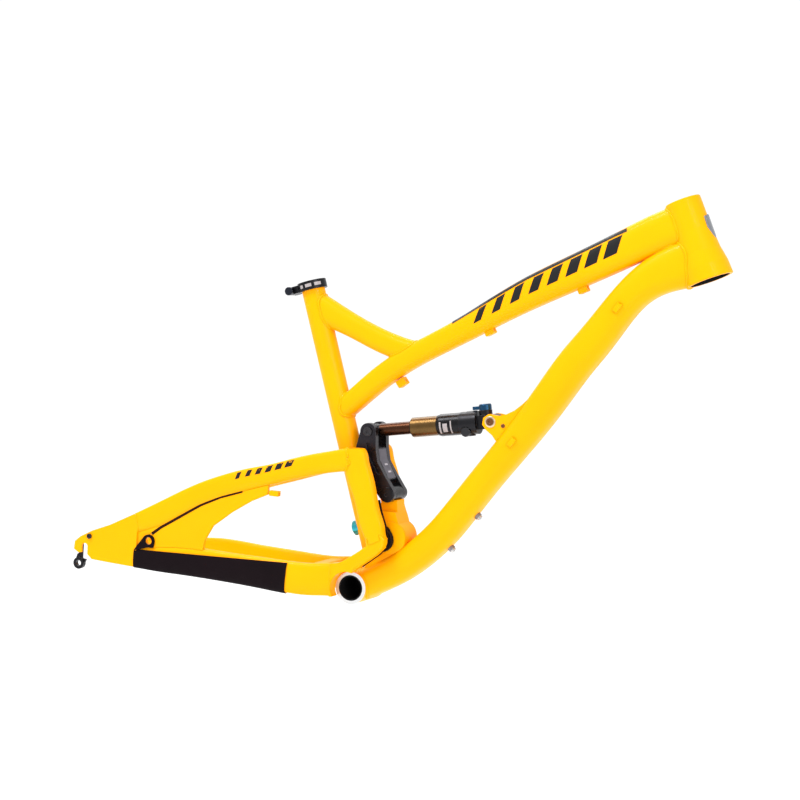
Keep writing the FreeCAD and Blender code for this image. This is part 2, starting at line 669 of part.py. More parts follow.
def chainstay_protector():
    """A rubber guard over the outer side of the right chainstay, with a loop round the keyhole."""
    sleeve = stay_solid(CHAINSTAY, -1.6).cut(CHAINSTAY_OUTSIDE)
    window = leg_plate([(-349, -30), (-349, 22), (-97, 28), (-100, -30)], -3.0, 15.0)
    guard = largest(sleeve.common(window).cut(DROPOUT_OUTSIDE))
    loop = ring(KEYHOLE_R + 3.2, KEYHOLE_R + 0.3, KEYHOLE, 55, 80)
    loop = loop.common(leg_plate([(-340, 18), (-340, 50), (-310, 50), (-310, 18)], -1.4, 4.0))
    loop = loop.cut([SEATSTAY_OUTSIDE, CHAINSTAY_OUTSIDE, DROPOUT_OUTSIDE])
    return mirrored(largest(joined(guard, loop)))


def seatstay_guide():
    block = Part.makeBox(15, 8, 8, V(-129, -61.5, 125))
    block = rounded(block, 1.5, lambda middle, edge: middle.z < 129)
    block = block.cut(rod(2.2, V(-140, -57.5, 128.5), V(-100, -57.5, 128.5)))
    return largest(block.cut(mirrored(SEATSTAY_OUTSIDE)))


def stay_pivot_pins():
    leg_inner = LEG_OUTER_FRONT - LEG_THICK
    shaft = pin(PIN_R - RUNNING, STAY_PIVOT, ROCKER_IN + 0.5, LEG_OUTER_FRONT - 4.1)
    return both_sides(joined(shaft, pin(8.4, STAY_PIVOT, ROCKER_OUT + 0.4, leg_inner)))


def main_pivot_bearings():
    bearing = ring(MAIN_BORE_R - 0.02, PIN_R + MAIN_CLEARANCE, MAIN_PIVOT, LEG_OUTER_FRONT - 18.0,
                   LEG_OUTER_FRONT - 8.0)
    return both_sides(bearing)


BRAKE_HOLES = [(-362.0, 30.0), (-313.5, 45.6)]


def brake_mount():
    """The disc brake's tab in the fork of the left stays; its holes are 51 mm apart."""
    tab = leg_plate([(-373, 14), (-300, 22), (-300, 70), (-325, 66), (-373, 44)], 3.5, 6.0)
    holes = [pin(3.0, place, 40, 90) for place in BRAKE_HOLES]
    return largest(tab.cut(holes + [SEATSTAY_OUTSIDE, CHAINSTAY_OUTSIDE]))


# ---- eccentric ---------------------------------------------------------------------------

def eccentric_core():
    half = FORGING_HALF - CORE_RECESS
    core = pin(CORE_R, ECCENTRIC_CENTRE, -half, half)
    relief = ring(CORE_R + 1, CORE_R - 1.5, ECCENTRIC_CENTRE, -7, 7)
    return core.cut([pin(PIN_R, MAIN_PIVOT, -30, 30), relief])


def main_pivot_axle():
    return pin(PIN_R, MAIN_PIVOT, -LEG_OUTER_FRONT + 7.0, LEG_OUTER_FRONT - 7.0)


def pivot_shields():
    """Rubber shields between the forging and the legs, on the spacers of the main pivot."""
    face = FORGING_HALF + 0.3
    shield = ring(18.0, PIN_R, MAIN_PIVOT, 24.0, LEG_OUTER_FRONT - LEG_THICK - 0.3)
    spacer = ring(SPACER_R, PIN_R, MAIN_PIVOT, face, 24.0)
    foot = ring(SPACER_R - 1.7, PIN_R, MAIN_PIVOT, FORGING_HALF - CORE_RECESS, face)
    return both_sides(joined(shield, spacer, foot))


# ---- shock -------------------------------------------------------------------------------

SHOCK_AXIS = (point(SHOCK_FRONT) - point(SHOCK_REAR)).normalize()
SHOCK_UP = V(-SHOCK_AXIS.z, 0, SHOCK_AXIS.x)
SHOCK_LENGTH = hypot(SHOCK_FRONT[0] - SHOCK_REAR[0], SHOCK_FRONT[1] - SHOCK_REAR[1])


def shock_at(along, up=0.0, y=0.0):
    return point(SHOCK_REAR) + SHOCK_AXIS * along + SHOCK_UP * up + V(0, y, 0)


def shock_ring(outer, inner, start, end):
    body = rod(outer, shock_at(start), shock_at(end))
    return body.cut(rod(inner, shock_at(start - 1), shock_at(end + 1)))


def shock_rear_eye():
    """The eye's bore is wider than its bolt: this is where the shock's loop is opened."""
    eye = pin(10.0, SHOCK_REAR, -EYE_HALF, EYE_HALF)
    neck = rod(8.6, shock_at(0), shock_at(11.6))
    body = joined(eye, neck)
    return body.cut(pin(4.0 + EYE_CLEARANCE, SHOCK_REAR, -20, 20))


def shock_shaft():
    return shock_ring(SHAFT_R, SHAFT_R - 2.0, 11.6, 88.0)


def shock_piston():
    return shock_ring(CAN_BORE_R - RUNNING, 4.0, 88.0, 94.0)


def travel_ring():
    """The rubber band on the shaft that shows the travel used."""
    return shock_ring(SHAFT_R + 1.6, SHAFT_R + 0.02, MOUTH_AT - 2.6, MOUTH_AT - 0.6)


def shock_seal_head():
    return shock_ring(CAN_BORE_R, SHAFT_R + RUNNING, MOUTH_AT + 1.0, MOUTH_AT + 9.0)


def shock_air_can():
    can = shock_ring(CAN_R, CAN_BORE_R, MOUTH_AT, CAN_AT)
    lip = shock_ring(CAN_BORE_R + 0.1, SHAFT_R + 0.6, MOUTH_AT, MOUTH_AT + 1.0)
    return joined(can, lip)


def shock_sleeve():
    taper = Part.makeCone(CAN_R + 0.6, SLEEVE_R, 4.0, shock_at(CAN_AT), SHOCK_AXIS)
    body = joined(taper, rod(SLEEVE_R, shock_at(CAN_AT + 4.0), shock_at(HEAD_AT)))
    return body.cut(rod(CAN_BORE_R, shock_at(CAN_AT - 1), shock_at(HEAD_AT + 8)))


def shock_head():
    """The front end: valve block, front eye, and the tower that carries the lever."""
    block = rod(SLEEVE_R + 0.6, shock_at(HEAD_AT), shock_at(HEAD_AT + 26))
    chamber = rod(9.0, shock_at(HEAD_AT + 10, -18.6), shock_at(HEAD_AT + 10, 0))
    tower = rod(9.6, shock_at(TOWER_AT, 0), shock_at(TOWER_AT, 17.0))
    shoulder = Part.makeCone(9.6, SLEEVE_R, 14.0, shock_at(TOWER_AT - 14.0, 8.0), -SHOCK_AXIS)
    shoulder = shoulder.common(rod(12.5, shock_at(TOWER_AT - 40.0, 5.0), shock_at(TOWER_AT, 5.0)))
    neck = Part.makeBox(28, 20, 20, V(0, -10, -10))
    neck.Placement = along_shock(shock_at(HEAD_AT + 22))
    eye = pin(10.5, SHOCK_FRONT, -EYE_HALF, EYE_HALF)
    valve = pin(4.5, knob_place(), 10.0, 20.0)
    body = joined(block, chamber, tower, shoulder, neck, eye, valve)
    hollow = rod(CAN_BORE_R, shock_at(HEAD_AT - 1), shock_at(HEAD_AT + 8))
    beyond = rod(30, shock_at(SHOCK_LENGTH), shock_at(SHOCK_LENGTH + 30))
    tip = beyond.cut(pin(10.5, SHOCK_FRONT, -20, 20))
    stem = rod(6.0, shock_at(TOWER_AT, 12), shock_at(TOWER_AT, 18))
    return body.cut([hollow, tip, pin(7.5, SHOCK_FRONT, -20, 20), stem, knob_seat()])


def along_shock(place, turn=0.0):
    """A placement whose X axis runs along the shock, turned about Y by the given angle."""
    return FreeCAD.Placement(place, FreeCAD.Rotation(V(0, 1, 0), turn - shock_tilt()))


def shock_tilt():
    return degrees(atan2(SHOCK_AXIS.z, SHOCK_AXIS.x))


def knob_place():
    spot = shock_at(HEAD_AT + 10, -12)
    return (spot.x, spot.z)


def knob_seat():
    """The knob's bore and the round pocket that its dial sits in."""
    return joined(pin(3.0 + RUNNING, knob_place(), -24.0, -4.0), pin(7.8, knob_place(), -24.0, -10.1))


def shock_front_bushing():
    return ring(7.48, 4.0, SHOCK_FRONT, -11.9, 11.9)


def compression_lever():
    """The lever on the tower; it turns about the tower's axis."""
    stem = rod(6.0 - RUNNING, shock_at(TOWER_AT, 12.2), shock_at(TOWER_AT, 17.3))
    dial = rod(9.2, shock_at(TOWER_AT, 17.3), shock_at(TOWER_AT, 26.0))
    dial = rounded(dial, 2.6, lambda middle, edge: edge.Length > 50 and top_of_dial(middle))
    paddle = Part.makeBox(19, 7, 5, V(0, -3.5, -2.5))
    paddle = rounded(paddle, 1.5, lambda middle, edge: middle.x > 18)
    paddle.Placement = along_shock(shock_at(TOWER_AT, 20.6), 180)
    return joined(stem, dial, paddle)


def top_of_dial(middle):
    return (middle - shock_at(TOWER_AT)).dot(SHOCK_UP) > 24


def rebound_knob():
    stem = pin(3.0, knob_place(), -12.0, -4.5)
    dial = pin(7.0, knob_place(), -15.5, -10.4)
    flutes = []
    for i in range(10):
        turn = 2 * pi * i / 10
        place = (knob_place()[0] + 7.6 * cos(turn), knob_place()[1] + 7.6 * sin(turn))
        flutes.append(pin(1.2, place, -20, -10))
    return joined(stem, dial).cut(flutes)


def air_valve_cap():
    return pin(5.0, knob_place(), 20.0, 26.0)


# ---- write every node --------------------------------------------------------------------

NODES = {
    "head_tube": head_tube(),
    "top_tube": top_tube(),
    "down_tube": down_tube(),
    "seat_tube": seat_tube(),
    "seat_tube_strut": strut(),
    "bottom_bracket_shell": bottom_bracket_shell(),
    "pivot_forging": pivot_forging(),
    "rocker_barrel": rocker_barrel(),
    "shock_mount": shock_mount(),
    "shock_front_bolt": shock_front_bolt(),
    "top_tube_guides": top_tube_guides(),
    "down_tube_guides": down_tube_guides(),
    "bottle_bosses": bottle_bosses(),
    "bottle_bolts": bottle_bolts(),
    "head_badge": head_badge(),
    "cable_port_plug": cable_port_plug(),
    "rocker_axle": rocker_axle(),
    "eccentric_bearings": eccentric_bearings(),
    "eccentric_covers": eccentric_covers(),
    "seat_clamp_collar": seat_clamp_collar(),
    "seat_clamp_skewer": seat_clamp_skewer(),
    "seat_clamp_lever": seat_clamp_lever(),
    "rocker_link": rocker_link(),
    "rocker_bearings": rocker_bearings(),
    "rocker_caps": rocker_caps(),
    "shock_rear_bolt": shock_rear_bolt(),
    "shock_rear_spacers": shock_rear_spacers(),
    "seatstay_bridge": seatstay_bridge(),
    "chainstay_bridge": chainstay_bridge(),
    "derailleur_hanger": derailleur_hanger(),
    "hanger_bolt": hanger_bolt(),
    "chainstay_protector": chainstay_protector(),
    "seatstay_guide": seatstay_guide(),
    "stay_pivot_pins": stay_pivot_pins(),
    "pivot_yokes": both_sides(pivot_yoke()),
    "uprights": both_sides(upright()),
    "stay_gusset": stay_gusset(),
    "seatstay_left": stay(SEATSTAY, UPRIGHT_OUTSIDE, behind(LEFT_DROPOUT_FRONT)),
    "seatstay_right": mirrored(stay(SEATSTAY, UPRIGHT_OUTSIDE, behind(RIGHT_DROPOUT_FRONT))),
    "chainstay_left": stay(CHAINSTAY, behind(LEFT_DROPOUT_FRONT)),
    "chainstay_right": mirrored(stay(CHAINSTAY, behind(RIGHT_DROPOUT_FRONT))),
    "main_pivot_bearings": main_pivot_bearings(),
    "brake_mount": brake_mount(),
    "dropout_left": dropout(False),
    "dropout_right": dropout(True),
    "eccentric_core": eccentric_core(),
    "main_pivot_axle": main_pivot_axle(),
    "pivot_shields": pivot_shields(),
    "shock_rear_eye": shock_rear_eye(),
    "shock_shaft": shock_shaft(),
    "shock_piston": shock_piston(),
    "travel_ring": travel_ring(),
    "shock_seal_head": shock_seal_head(),
    "shock_air_can": shock_air_can(),
    "shock_sleeve": shock_sleeve(),
    "shock_head": shock_head(),
    "shock_front_bushing": shock_front_bushing(),
    "compression_lever": compression_lever(),
    "rebound_knob": rebound_knob(),
    "air_valve_cap": air_valve_cap(),
}
os.makedirs("parts", exist_ok=True)
for name, shape in NODES.items():
    shape.exportStep("parts/" + name + ".step")
    print(name, len(shape.Solids), round(shape.Volume / 1000, 1), "cm3", shape.isValid())
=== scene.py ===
import json
import math
import random

import bmesh
import bpy
import numpy
from mathutils import Matrix, Vector
from mathutils.bvhtree import BVHTree


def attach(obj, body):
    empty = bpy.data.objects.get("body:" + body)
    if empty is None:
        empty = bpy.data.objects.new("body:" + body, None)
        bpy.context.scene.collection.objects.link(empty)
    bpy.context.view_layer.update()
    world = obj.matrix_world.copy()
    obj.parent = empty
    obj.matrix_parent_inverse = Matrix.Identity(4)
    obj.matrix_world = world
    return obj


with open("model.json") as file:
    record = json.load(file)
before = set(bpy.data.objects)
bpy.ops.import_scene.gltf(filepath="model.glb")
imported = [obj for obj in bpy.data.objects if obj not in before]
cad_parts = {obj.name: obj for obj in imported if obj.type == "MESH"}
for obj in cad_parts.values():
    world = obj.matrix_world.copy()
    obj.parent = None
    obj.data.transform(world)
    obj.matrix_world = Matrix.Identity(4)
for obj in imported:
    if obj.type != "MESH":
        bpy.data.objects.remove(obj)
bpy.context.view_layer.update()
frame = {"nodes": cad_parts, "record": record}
NODES = frame["nodes"]
MM = 0.001

# places and directions of the frame's main parts: metres, except where a line says millimetres
HEAD_TOP = Vector((0.4530, 0.0, 0.5892))
HEAD_DOWN = Vector((0.40434, 0.0, -0.91461))
HEAD_UPPER_BORE = 0.0223
HEAD_LOWER_BORE_EXTRA = 0.0060
HEAD_LOWER_FROM = 0.1020
SHELL_FACE = 0.03645
SHELL_BORE = 0.0189
THREAD_PITCH = 0.00106
SHOCK_AXIS = Vector((0.98700, 0.0, 0.16070))
SHOCK_REAR_EYE = Vector((7.9, 0.0, 230.5))       # millimetres
SHOCK_FRONT_EYE = (195.9, 261.1)                 # x and z in millimetres
SEAT_TOP = Vector((-108.0, 0.0, 441.0))          # millimetres
SEAT_DOWN = Vector((0.31068, 0.0, -0.95052))
KEYHOLE = (-325.0, 37.0)                         # x and z in millimetres


# ---- node materials ----------------------------------------------------------------------

class Nodes:
    """A material's node tree, with short calls for the nodes used here."""

    def __init__(self, name):
        self.material = bpy.data.materials.new(name)
        self.material.use_nodes = True
        self.tree = self.material.node_tree
        self.shader = self.tree.nodes["Principled BSDF"]
        self.place = self.add("ShaderNodeTexCoord").outputs["Object"]

    def add(self, kind, **settings):
        node = self.tree.nodes.new(kind)
        for key, value in settings.items():
            setattr(node, key, value)
        return node

    def link(self, source, target):
        if isinstance(source, bpy.types.NodeSocket):
            self.tree.links.new(source, target)
        else:
            target.default_value = source

    def set(self, **values):
        for key, value in values.items():
            self.link(value, self.shader.inputs[key.replace("_", " ")])
        return self

    def noise(self, scale, detail=2.0, roughness=0.5):
        node = self.add("ShaderNodeTexNoise")
        self.link(self.place, node.inputs["Vector"])
        node.inputs["Scale"].default_value = scale
        node.inputs["Detail"].default_value = detail
        node.inputs["Roughness"].default_value = roughness
        return node.outputs["Fac"]

    def cells(self, scale):
        node = self.add("ShaderNodeTexVoronoi")
        self.link(self.place, node.inputs["Vector"])
        node.inputs["Scale"].default_value = scale
        return node.outputs["Distance"]

    def math(self, operation, a, b=0.0, c=0.0):
        node = self.add("ShaderNodeMath", operation=operation)
        for value, socket in zip((a, b, c), node.inputs):
            self.link(value, socket)
        return node.outputs[0]

    def spread(self, value, low, high, start=0.3, end=0.7):
        """Maps start..end of a value to low..high."""
        node = self.add("ShaderNodeMapRange")
        for key, number in zip(("From Min", "From Max", "To Min", "To Max"), (start, end, low, high)):
            node.inputs[key].default_value = number
        self.link(value, node.inputs["Value"])
        return node.outputs["Result"]

    def mix(self, share, a, b):
        node = self.add("ShaderNodeMix", data_type="RGBA")
        self.link(share, node.inputs["Factor"])
        for value, socket in ((a, node.inputs["A"]), (b, node.inputs["B"])):
            self.link(value if isinstance(value, bpy.types.NodeSocket) else (*value, 1.0), socket)
        return node.outputs["Result"]

    def soft_edges(self, radius):
        node = self.add("ShaderNodeBevel", samples=4)
        node.inputs["Radius"].default_value = radius
        return node.outputs["Normal"]

    def edge_mask(self, radius, gain):
        """1 on convex and concave edges, 0 on flat and gently curved faces."""
        normal = self.add("ShaderNodeNewGeometry").outputs["Normal"]
        dot = self.add("ShaderNodeVectorMath", operation="DOT_PRODUCT")
        self.link(self.soft_edges(radius), dot.inputs[0])
        self.link(normal, dot.inputs[1])
        turned = self.math("SUBTRACT", 1.0, dot.outputs["Value"])
        node = self.add("ShaderNodeMath", operation="MULTIPLY", use_clamp=True)
        self.link(turned, node.inputs[0])
        node.inputs[1].default_value = gain
        return node.outputs[0]

    def bump(self, height, strength, distance, under=None):
        node = self.add("ShaderNodeBump")
        node.inputs["Strength"].default_value = strength
        node.inputs["Distance"].default_value = distance
        self.link(height, node.inputs["Height"])
        if under is not None:
            self.link(under, node.inputs["Normal"])
        return node.outputs["Normal"]

    def coordinate(self, axis):
        node = self.add("ShaderNodeSeparateXYZ")
        self.link(self.place, node.inputs[0])
        return node.outputs[axis]


PAINT_LIGHT = (0.94, 0.360, 0.0)
PAINT_DEEP = (0.91, 0.330, 0.0)
PAINT_FLAKE = (1.0, 0.45, 0.002)


def paint_nodes(name):
    """Gloss powder coat: faint flake and depth of colour, orange peel under a clear coat."""
    n = Nodes(name)
    cloud = n.spread(n.noise(9.0, 3.0), 0.0, 1.0)
    flake = n.spread(n.cells(5200.0), 0.0, 0.22, 0.0, 0.55)
    colour = n.mix(flake, n.mix(cloud, PAINT_LIGHT, PAINT_DEEP), PAINT_FLAKE)
    peel = n.bump(n.noise(620.0, 1.5), 0.10, 0.00012, n.soft_edges(0.0012))
    coat = n.bump(n.noise(260.0, 1.0), 0.07, 0.00015, n.soft_edges(0.0012))
    n.set(Base_Color=colour, Normal=peel, Coat_Normal=coat, Coat_Weight=0.05, Coat_Roughness=0.08,
          Specular_IOR_Level=0.04, Roughness=n.spread(n.noise(38.0, 4.0), 0.30, 0.42))
    return n


def shell_paint():
    """The frame's paint, with bare faced ends, and a threaded bore coloured near black as painted shade.
    """
    n = paint_nodes("shell_paint_bare_faces_and_bore_shade")
    colour = n.shader.inputs["Base Color"].links[0].from_socket
    y = n.math("ABSOLUTE", n.coordinate("Y"))
    x, z = n.coordinate("X"), n.coordinate("Z")
    radius = n.math("SQRT", n.math("ADD", n.math("MULTIPLY", x, x), n.math("MULTIPLY", z, z)))
    face = n.math("GREATER_THAN", y, SHELL_FACE)
    bore = n.math("LESS_THAN", radius, SHELL_BORE)
    bare = n.math("MAXIMUM", face, bore)
    # near black inside the bore is painted shade; the faced ends are bare metal
    metal = n.mix(bore, (0.62, 0.62, 0.62), (0.012, 0.012, 0.013))
    n.set(Base_Color=n.mix(bare, colour, metal), Metallic=n.math("MULTIPLY", face, 0.9))
    thread = n.math("MULTIPLY", n.math("SINE", n.math("MULTIPLY", y, 2 * math.pi / THREAD_PITCH)), bore)
    n.set(Normal=n.bump(thread, 0.6, 0.0004, n.soft_edges(0.0006)))
    return n.material


def head_paint():
    """The frame's paint, with the head tube's bore coloured near black as painted shade."""
    n = paint_nodes("head_paint_and_bore_shade")
    colour = n.shader.inputs["Base Color"].links[0].from_socket
    offset = n.add("ShaderNodeVectorMath", operation="SUBTRACT")
    n.link(n.place, offset.inputs[0])
    offset.inputs[1].default_value = HEAD_TOP
    dot = n.add("ShaderNodeVectorMath", operation="DOT_PRODUCT")
    n.link(offset.outputs[0], dot.inputs[0])
    dot.inputs[1].default_value = HEAD_DOWN
    cross = n.add("ShaderNodeVectorMath", operation="CROSS_PRODUCT")
    n.link(offset.outputs[0], cross.inputs[0])
    cross.inputs[1].default_value = HEAD_DOWN
    size = n.add("ShaderNodeVectorMath", operation="LENGTH")
    n.link(cross.outputs[0], size.inputs[0])
    lower = n.math("GREATER_THAN", dot.outputs["Value"], HEAD_LOWER_FROM)
    limit = n.math("MULTIPLY_ADD", lower, HEAD_LOWER_BORE_EXTRA, HEAD_UPPER_BORE)
    bore = n.math("LESS_THAN", size.outputs["Value"], limit)
    # near black inside the bore: painted shade
    n.set(Base_Color=n.mix(bore, colour, (0.010, 0.011, 0.011)))
    return n.material


def alloy(name, colour, wear_and_highlight_colour, roughness=0.34, metallic=0.85, grain=900.0, edge=0.0005):
    """Anodised aluminium: fine blasted grain, paler along its edges, partly the metal showing faintly
    through wear, partly painted highlight.
    """
    n = Nodes(name)
    patch = n.spread(n.noise(60.0, 4.0), 0.0, 0.35)
    base = n.mix(patch, colour, [min(1.0, c * 1.5 + 0.004) for c in colour])
    # paler along convex and concave edges: partly wear, partly painted highlight
    edge_wear_and_highlight = n.math("MULTIPLY", n.edge_mask(edge, 1.6), n.spread(n.noise(210.0, 3.0), 0.25, 1.0))
    n.set(Base_Color=n.mix(edge_wear_and_highlight, base, wear_and_highlight_colour), Metallic=metallic,
          Roughness=n.spread(n.noise(140.0, 3.0), roughness - 0.06, roughness + 0.08),
          Normal=n.bump(n.noise(grain, 2.0), 0.12, 0.0001, n.soft_edges(edge)))
    return n.material


def turned(name, colour, roughness=0.25, direction=(1.0, 0.0, 0.0), pitch=0.00035):
    """Turned metal: fine rings across the given direction, with slight stain."""
    n = Nodes(name)
    dot = n.add("ShaderNodeVectorMath", operation="DOT_PRODUCT")
    n.link(n.place, dot.inputs[0])
    dot.inputs[1].default_value = direction
    rings = n.math("SINE", n.math("MULTIPLY", dot.outputs["Value"], 2 * math.pi / pitch))
    streak = n.noise(480.0, 5.0, 0.7)
    stain = n.spread(n.noise(45.0, 3.0), 0.0, 0.5)
    n.set(Base_Color=n.mix(stain, colour, [c * 0.72 for c in colour]), Metallic=1.0,
          Roughness=n.spread(streak, roughness - 0.07, roughness + 0.1),
          Normal=n.bump(n.math("ADD", rings, streak), 0.03, 0.00003, n.soft_edges(0.0004)))
    return n.material


def rubber(name, colour=(0.008, 0.007, 0.008), stipple=700.0):
    n = Nodes(name)
    grain = n.cells(stipple)
    dust = n.spread(n.noise(22.0, 5.0), 0.0, 0.6)
    n.set(Base_Color=n.mix(dust, colour, [c * 1.5 for c in colour]),
          Roughness=n.spread(n.noise(60.0, 3.0), 0.52, 0.68), Specular_IOR_Level=0.06,
          Normal=n.bump(grain, 0.35, 0.00018, n.soft_edges(0.0006)))
    return n.material


def plastic(name, colour, roughness=0.4):
    n = Nodes(name)
    n.set(Base_Color=n.mix(n.spread(n.noise(80.0, 3.0), 0.0, 1.0), colour, [c * 1.25 for c in colour]),
          Roughness=n.spread(n.noise(150.0, 3.0), roughness - 0.05, roughness + 0.1),
          Normal=n.bump(n.noise(1300.0, 1.0), 0.15, 0.00008, n.soft_edges(0.0004)))
    return n.material


def ink(name, colour, roughness=0.3):
    """A printed vinyl graphic under clear coat."""
    n = Nodes(name)
    n.set(Base_Color=n.mix(n.spread(n.noise(300.0, 3.0), 0.0, 0.5), colour, [c * 1.3 for c in colour]),
          Roughness=n.spread(n.noise(90.0, 2.0), roughness, roughness + 0.12),
          Specular_IOR_Level=0.2, Coat_Weight=0.12, Coat_Roughness=0.1,
          Normal=n.bump(n.noise(260.0, 1.0), 0.07, 0.00015))
    return n.material


PAINT = paint_nodes("yellow_paint").material
LOOKS = {
    "frame_paint": PAINT,
    "black_alloy": alloy("black_anodised", (0.012, 0.012, 0.014), (0.16, 0.16, 0.17)),
    "grey_alloy": alloy("grey_anodised", (0.20, 0.20, 0.22), (0.5, 0.5, 0.52)),
    "bare_steel": turned("turned_steel", (0.58, 0.57, 0.56), direction=(0.0, 1.0, 0.0)),
    "blue_alloy": alloy("blue_anodised", (0.030, 0.30, 0.36), (0.3, 0.5, 0.6), roughness=0.30),
    "gold_alloy": turned("bronze_hard_coat", (0.062, 0.026, 0.014), 0.28, SHOCK_AXIS, 0.0005),
    "black_rubber": rubber("black_rubber"),
    "black_plastic": plastic("black_plastic", (0.014, 0.014, 0.016)),
}
SPECIAL = {
    "bottom_bracket_shell": shell_paint(),
    "rocker_link": alloy("forged_rocker", (0.020, 0.018, 0.022), (0.30, 0.28, 0.30), roughness=0.30),
    "compression_lever": alloy("navy_anodised", (0.010, 0.050, 0.110), (0.15, 0.3, 0.45), roughness=0.3),
    "shock_air_can": turned("bronze_can", (0.125, 0.072, 0.026), 0.3, SHOCK_AXIS, 0.0006),
    "head_tube": head_paint(),
    "hanger_bolt": alloy("dark_hanger_bolt", (0.035, 0.030, 0.028), (0.3, 0.3, 0.3)),
    "rebound_knob": alloy("dark_knob", (0.030, 0.030, 0.033), (0.3, 0.3, 0.31)),
    "seat_clamp_skewer": alloy("dark_skewer", (0.014, 0.016, 0.024), (0.3, 0.3, 0.33)),
    "shock_sleeve": alloy("can_sleeve", (0.010, 0.010, 0.011), (0.1, 0.1, 0.1), roughness=0.26),
    "head_badge": alloy("badge_pewter", (0.20, 0.21, 0.23), (0.7, 0.7, 0.72), roughness=0.3),
    "shock_front_bolt": alloy("brown_bolt", (0.150, 0.060, 0.022), (0.5, 0.35, 0.22), roughness=0.35),
    "shock_rear_bolt": alloy("dark_bolt", (0.035, 0.033, 0.036), (0.35, 0.34, 0.36), roughness=0.35),
    "chainstay_protector": rubber("guard_rubber", (0.0045, 0.002, 0.003), 420.0),
}
for part in frame["record"]["subparts"]:
    node = NODES[part["node"]]
    look = SPECIAL.get(part["node"], LOOKS[part["material_slot"]])
    for place in node.material_slots:
        place.material = look


# ---- mesh helpers ------------------------------------------------------------------------

def surface_of(*names):
    """A tree over the faces of some CAD nodes, in the row frame."""
    corners, faces = [], []
    for name in names:
        mesh = NODES[name].data
        first = len(corners)
        corners += [v.co.copy() for v in mesh.vertices]
        faces += [[first + i for i in p.vertices] for p in mesh.polygons]
    return BVHTree.FromPolygons(corners, faces)


def new_piece(name, corners, faces, material, body):
    """A closed piece from its corners and faces, sharp only where its faces really turn."""
    mesh = bpy.data.meshes.new(name)
    mesh.from_pydata([tuple(c) for c in corners], [], faces)
    work = bmesh.new()
    work.from_mesh(mesh)
    bmesh.ops.remove_doubles(work, verts=work.verts[:], dist=1e-7)
    bmesh.ops.recalc_face_normals(work, faces=work.faces[:])
    work.to_mesh(mesh)
    work.free()
    mesh.materials.append(material)
    mesh.shade_smooth()
    mesh.set_sharp_from_angle(angle=math.radians(38))
    obj = bpy.data.objects.new(name, mesh)
    bpy.context.scene.collection.objects.link(obj)
    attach(obj, body)
    return obj


def sweep(path, radius_at, sides):
    """Rings of vertices along a closed path, and the faces that join them."""
    corners, faces = [], []
    count = len(path)
    normal = Vector((0, 0, 1))
    for i, place in enumerate(path):
        tangent = (path[(i + 1) % count] - path[i - 1]).normalized()
        normal = (normal - tangent * normal.dot(tangent)).normalized()
        side = tangent.cross(normal)
        for j in range(sides):
            turn = 2 * math.pi * j / sides
            corners.append(place + (normal * math.cos(turn) + side * math.sin(turn)) * radius_at(i))
    for i in range(count):
        for j in range(sides):
            a, b = i * sides, ((i + 1) % count) * sides
            k = (j + 1) % sides
            faces.append([a + j, a + k, b + k, b + j])
    return corners, faces


def lathe(name, profile, base, axis, material, body, sides=48):
    """A turned piece: its closed profile is (along, radius) in millimetres from the base."""
    axis = Vector(axis).normalized()
    u = axis.orthogonal().normalized()
    v = axis.cross(u)
    corners, faces = [], []
    for along, radius in profile:
        for j in range(sides):
            turn = 2 * math.pi * j / sides
            out = u * math.cos(turn) + v * math.sin(turn)
            corners.append((Vector(base) + axis * along + out * radius) * MM)
    for i in range(len(profile)):
        a, b = i * sides, (i + 1) % len(profile) * sides
        for j in range(sides):
            k = (j + 1) % sides
            faces.append([a + j, a + k, b + k, b + j])
    return new_piece(name, corners, faces, material, body)


def strip(name, path, across, depth, material, body):
    """A bar of rectangular section along a path; across and depth are its half sides."""
    corners, faces = [], []
    for place, a, d in zip(path, across, depth):
        corners += [place - a - d, place + a - d, place + a + d, place - a + d]
    for i in range(len(path) - 1):
        for j in range(4):
            k = (j + 1) % 4
            faces.append([4 * i + j, 4 * i + k, 4 * i + 4 + k, 4 * i + 4 + j])
    last = 4 * len(path) - 4
    faces += [[0, 1, 2, 3], [last + 3, last + 2, last + 1, last]]
    return new_piece(name, corners, faces, material, body)


# ---- weld beads --------------------------------------------------------------------------

def seam(node, neighbours, reach, side):
    """The corners of one CAD node that touch its neighbours; side keeps one half of them."""
    tree = surface_of(*neighbours)
    touching = []
    for vertex in NODES[node].data.vertices:
        hit = tree.find_nearest(vertex.co, reach)
        if hit[0] is not None and vertex.co.y * side >= 0.0:
            touching.append(vertex.co.copy())
    return touching


def plane_of(points):
    """Centre and two in-plane directions of a cloud of points."""
    cloud = numpy.array([tuple(p) for p in points])
    centre = cloud.mean(axis=0)
    axes = numpy.linalg.svd(cloud - centre)[2]
    return Vector(centre), Vector(axes[0]), Vector(axes[1])


def rim(points, bins=72):
    """Orders the points round their centre and keeps the outermost of each direction."""
    centre, u, v = plane_of(points)
    best = {}
    for p in points:
        d = p - centre
        a, b = d.dot(u), d.dot(v)
        key = int((math.atan2(b, a) + math.pi) / (2 * math.pi) * bins) % bins
        reach = math.hypot(a, b)
        if key not in best or reach > best[key][0]:
            best[key] = (reach, p)
    line = [best[k][1] for k in sorted(best)]
    for _ in range(2):
        line = [(line[i - 1] + line[i] * 2 + line[(i + 1) % len(line)]) / 4 for i in range(len(line))]
    return line


def evenly(line, step):
    """Resamples a closed line at an even step along its length."""
    points = line + line[:1]
    lengths = [0.0]
    for a, b in zip(points, points[1:]):
        lengths.append(lengths[-1] + (b - a).length)
    count = max(8, int(lengths[-1] / step))
    result, k = [], 0
    for i in range(count):
        want = lengths[-1] * i / count
        while k < len(points) - 2 and lengths[k + 1] < want:
            k += 1
        span = max(lengths[k + 1] - lengths[k], 1e-9)
        result.append(points[k].lerp(points[k + 1], (want - lengths[k]) / span))
    return result


